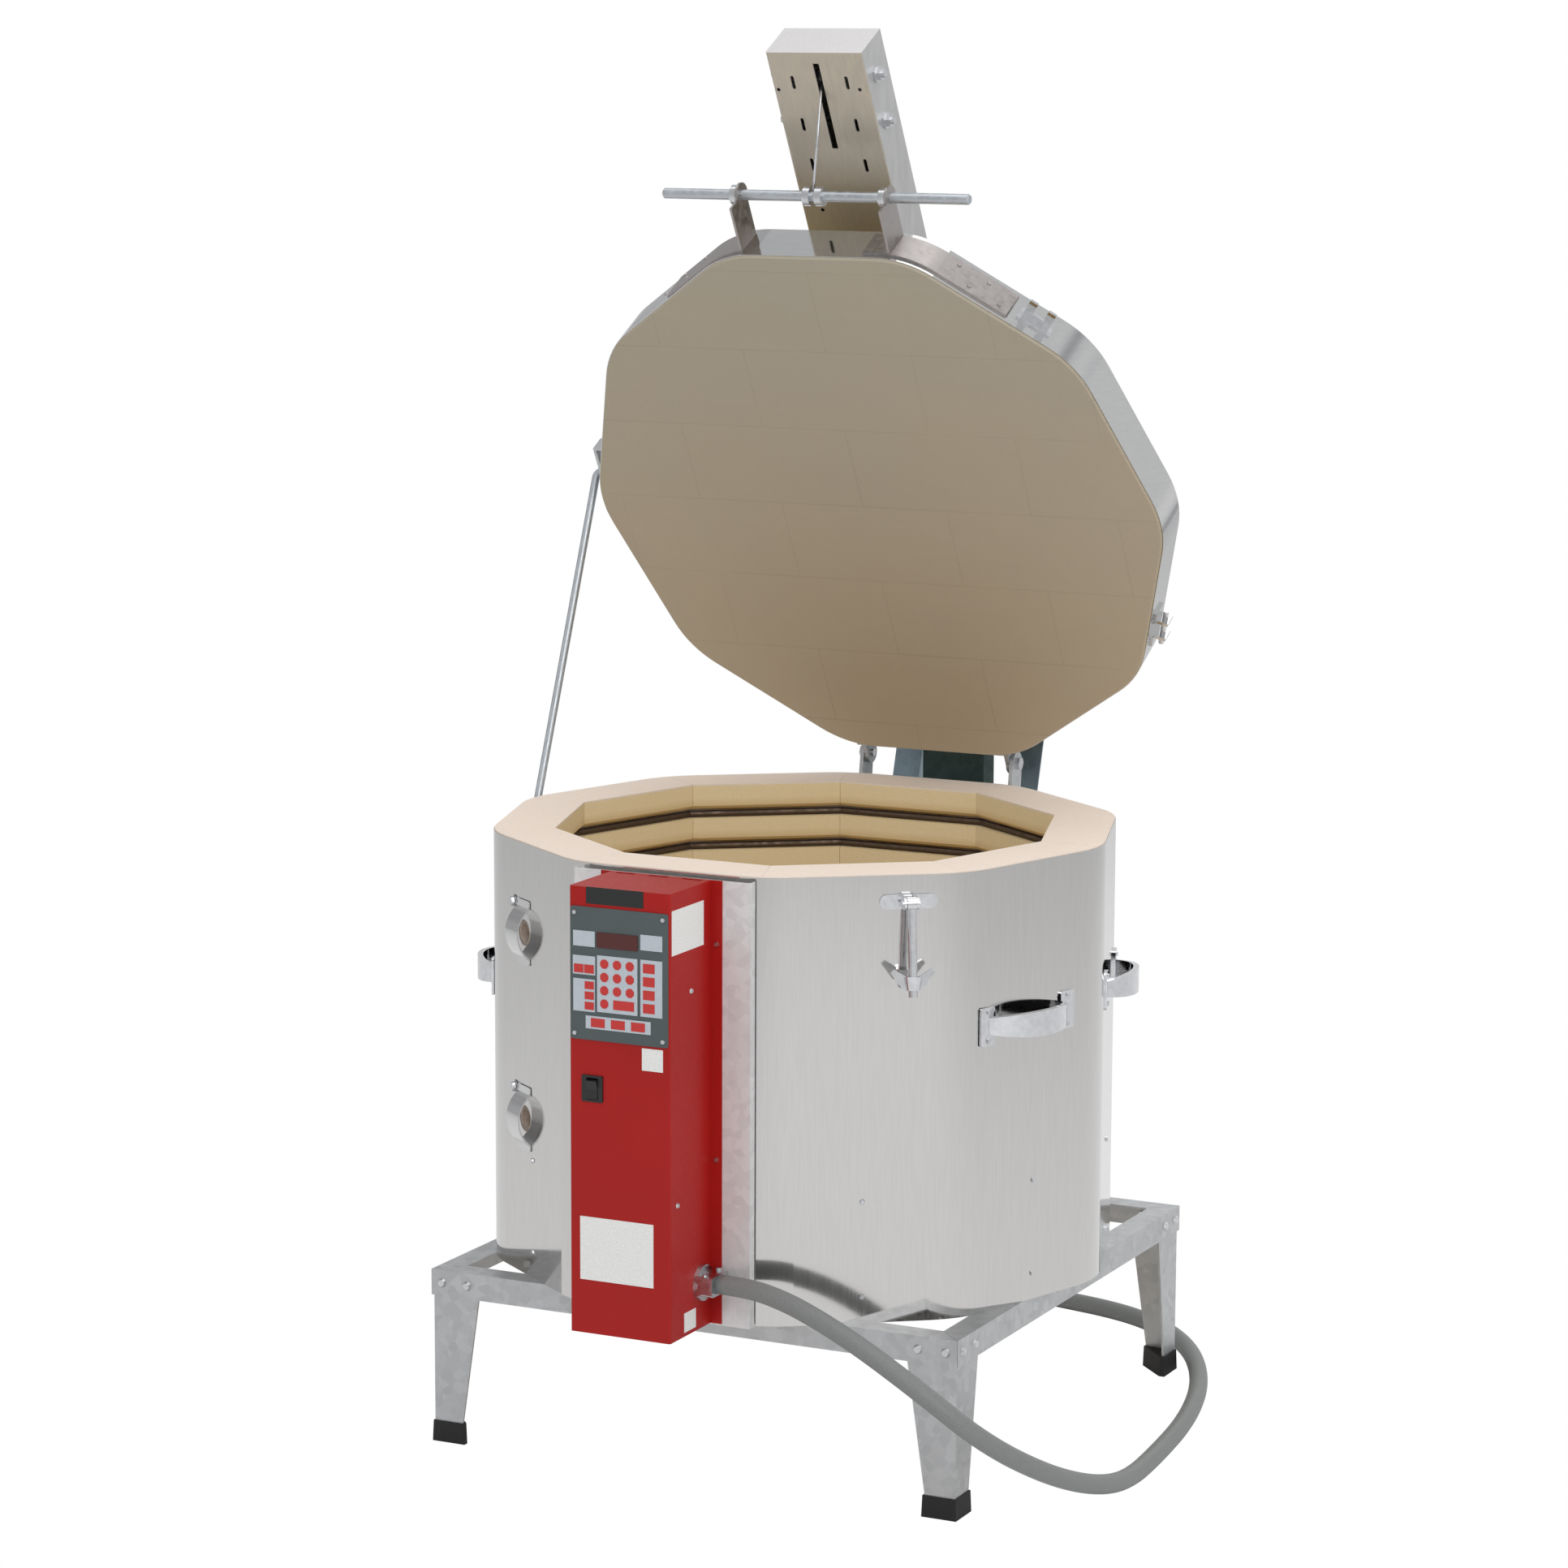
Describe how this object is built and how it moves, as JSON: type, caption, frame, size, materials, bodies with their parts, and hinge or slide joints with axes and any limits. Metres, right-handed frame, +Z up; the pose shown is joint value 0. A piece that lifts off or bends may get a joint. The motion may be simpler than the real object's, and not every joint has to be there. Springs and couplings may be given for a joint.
{
  "type": "top-loading electric ceramic kiln",
  "caption": "Ten-sided top-loading electric ceramic kiln on an angle-iron stand, lid propped open under a leaning spring tower.",
  "frame": {"origin": "on the floor, midway between the farthest sides of the object without its cord", "axes": "+Z up, the control box faces -Y, +X is to the right of someone who stands in front of it"},
  "size_m": [0.911, 1.0842, 1.7136],
  "materials": {
    "firebrick": "matte, porous",
    "stainless": "satin",
    "element_wire": "oxidised",
    "thermocouple": "matte",
    "galvanised": "galvanised",
    "red_paint": "satin enamel",
    "grey_panel": "satin",
    "membrane": "satin film",
    "display": "glossy",
    "black_plastic": "moulded",
    "board": "lacquered",
    "transformer": "laminated",
    "screws": "zinc plated",
    "chrome": "polished",
    "zinc_steel": "zinc plated",
    "rubber": "matte",
    "cord": "vinyl"
  },
  "bodies": {
    "kiln_body": {"floor_slab": "firebrick", "brick_course_bottom": "firebrick", "brick_course_lower": "firebrick", "brick_course_upper": "firebrick", "brick_course_top": "firebrick", "heating_elements": "element_wire", "element_terminals": "element_wire", "thermocouple": "thermocouple", "jacket": "stainless", "control_channel": "galvanised", "control_cover": "red_paint", "keypad_panel": "grey_panel", "keypad_membrane": "membrane", "display_window": "display", "power_switch": "black_plastic", "circuit_board": "board", "transformer": "transformer", "power_relays": "black_plastic", "terminal_block": "black_plastic", "small_screws": "screws", "pull_handles": "chrome", "peephole_pivots": "screws", "latch_base": "galvanised", "hinge_mounts": "galvanised", "hinge_pins": "screws", "prop_foot_bracket": "galvanised", "tower_housing": "galvanised", "tower_back_cover": "galvanised", "tower_bolts": "screws", "tower_cradle": "galvanised", "tower_struts": "galvanised", "tower_neck": "galvanised", "counterbalance_springs": "zinc_steel", "lift_cable": "zinc_steel", "stand_rails": "galvanised", "stand_legs": "galvanised", "stand_boots": "rubber", "stand_bolts": "screws", "cord_gland": "zinc_steel", "power_cord": "cord", "power_plug": "cord"},
    "lid": {"lid_slab": "firebrick", "lid_band": "stainless", "lid_band_clamp": "stainless", "latch_keeper": "galvanised", "lid_brackets": "stainless", "bracket_rivets": "stainless", "handle_bar": "zinc_steel", "bar_collars": "zinc_steel", "lid_hinge_leaves": "stainless", "prop_catch": "galvanised"},
    "prop": {"prop_rod": "zinc_steel"},
    "yoke": {"spring_yoke": "zinc_steel"},
    "yoke_wheel": {"yoke_sheave": "zinc_steel"},
    "top_wheel": {"top_pulley": "zinc_steel"},
    "latch": {"latch_bolt": "zinc_steel"},
    "latch_nut": {"latch_wing_nut": "zinc_steel"},
    "upper_peephole_cover": {"peephole_cover_upper": "stainless"},
    "lower_peephole_cover": {"peephole_cover_lower": "stainless"},
    "rocker": {"switch_rocker": "black_plastic"}
  },
  "joints": [
    {"name": "lid_hinge", "type": "hinge", "parent": "kiln_body", "child": "lid", "pos_m": [0.0117, 0.36076, 0.7742], "axis": [1, 0, 0], "range_deg": [0, 61], "deforming": ["lift_cable"]},
    {"name": "prop_rod_swing", "type": "hinge", "parent": "kiln_body", "child": "prop", "pos_m": [-0.3963, -0.00324, 0.7002], "axis": [1, 0, 0], "range_deg": [-110, 0]},
    {"name": "yoke_slide", "type": "slide", "parent": "kiln_body", "child": "yoke", "axis": [0, -0.4848, 0.8746], "range_m": [0, 0.4205], "deforming": ["counterbalance_springs"]},
    {"name": "yoke_wheel_spin", "type": "hinge", "parent": "yoke", "child": "yoke_wheel", "pos_m": [0.0117, 0.26978, 1.20855], "axis": [1, 0, 0], "range_deg": [0, 2410]},
    {"name": "top_wheel_spin", "type": "hinge", "parent": "kiln_body", "child": "top_wheel", "pos_m": [0.0117, 0.01156, 1.65996], "axis": [1, 0, 0], "range_deg": [0, 2840]},
    {"name": "latch_swing", "type": "hinge", "parent": "kiln_body", "child": "latch", "pos_m": [0.28359, -0.325, 0.7182], "axis": [0.809, 0.5878, 0], "range_deg": [-170, 0]},
    {"name": "latch_nut_spin", "type": "hinge", "parent": "latch", "child": "latch_nut", "pos_m": [0.28359, -0.325, 0.7182], "axis": [-0.0818, 0.1126, 0.9903], "continuous": true},
    {"name": "upper_peephole_swing", "type": "hinge", "parent": "kiln_body", "child": "upper_peephole_cover", "pos_m": [-0.24814, -0.31521, 0.6739], "axis": [-0.5878, -0.809, 0], "range_deg": [-80, 80]},
    {"name": "lower_peephole_swing", "type": "hinge", "parent": "kiln_body", "child": "lower_peephole_cover", "pos_m": [-0.24814, -0.31521, 0.4453], "axis": [-0.5878, -0.809, 0], "range_deg": [-80, 80]},
    {"name": "switch_rock", "type": "hinge", "parent": "kiln_body", "child": "rocker", "pos_m": [-0.0233, -0.52624, 0.5102], "axis": [1, 0, 0], "range_deg": [-16, 0]}
  ],
  "couplings": [
    {"joint": "prop_rod_swing", "follows": "lid_hinge", "ratio": -1.8},
    {"joint": "yoke_slide", "follows": "lid_hinge", "m_per_rad": 0.3945},
    {"joint": "yoke_wheel_spin", "follows": "lid_hinge", "ratio": 39.45},
    {"joint": "top_wheel_spin", "follows": "lid_hinge", "ratio": 46.5}
  ]
}
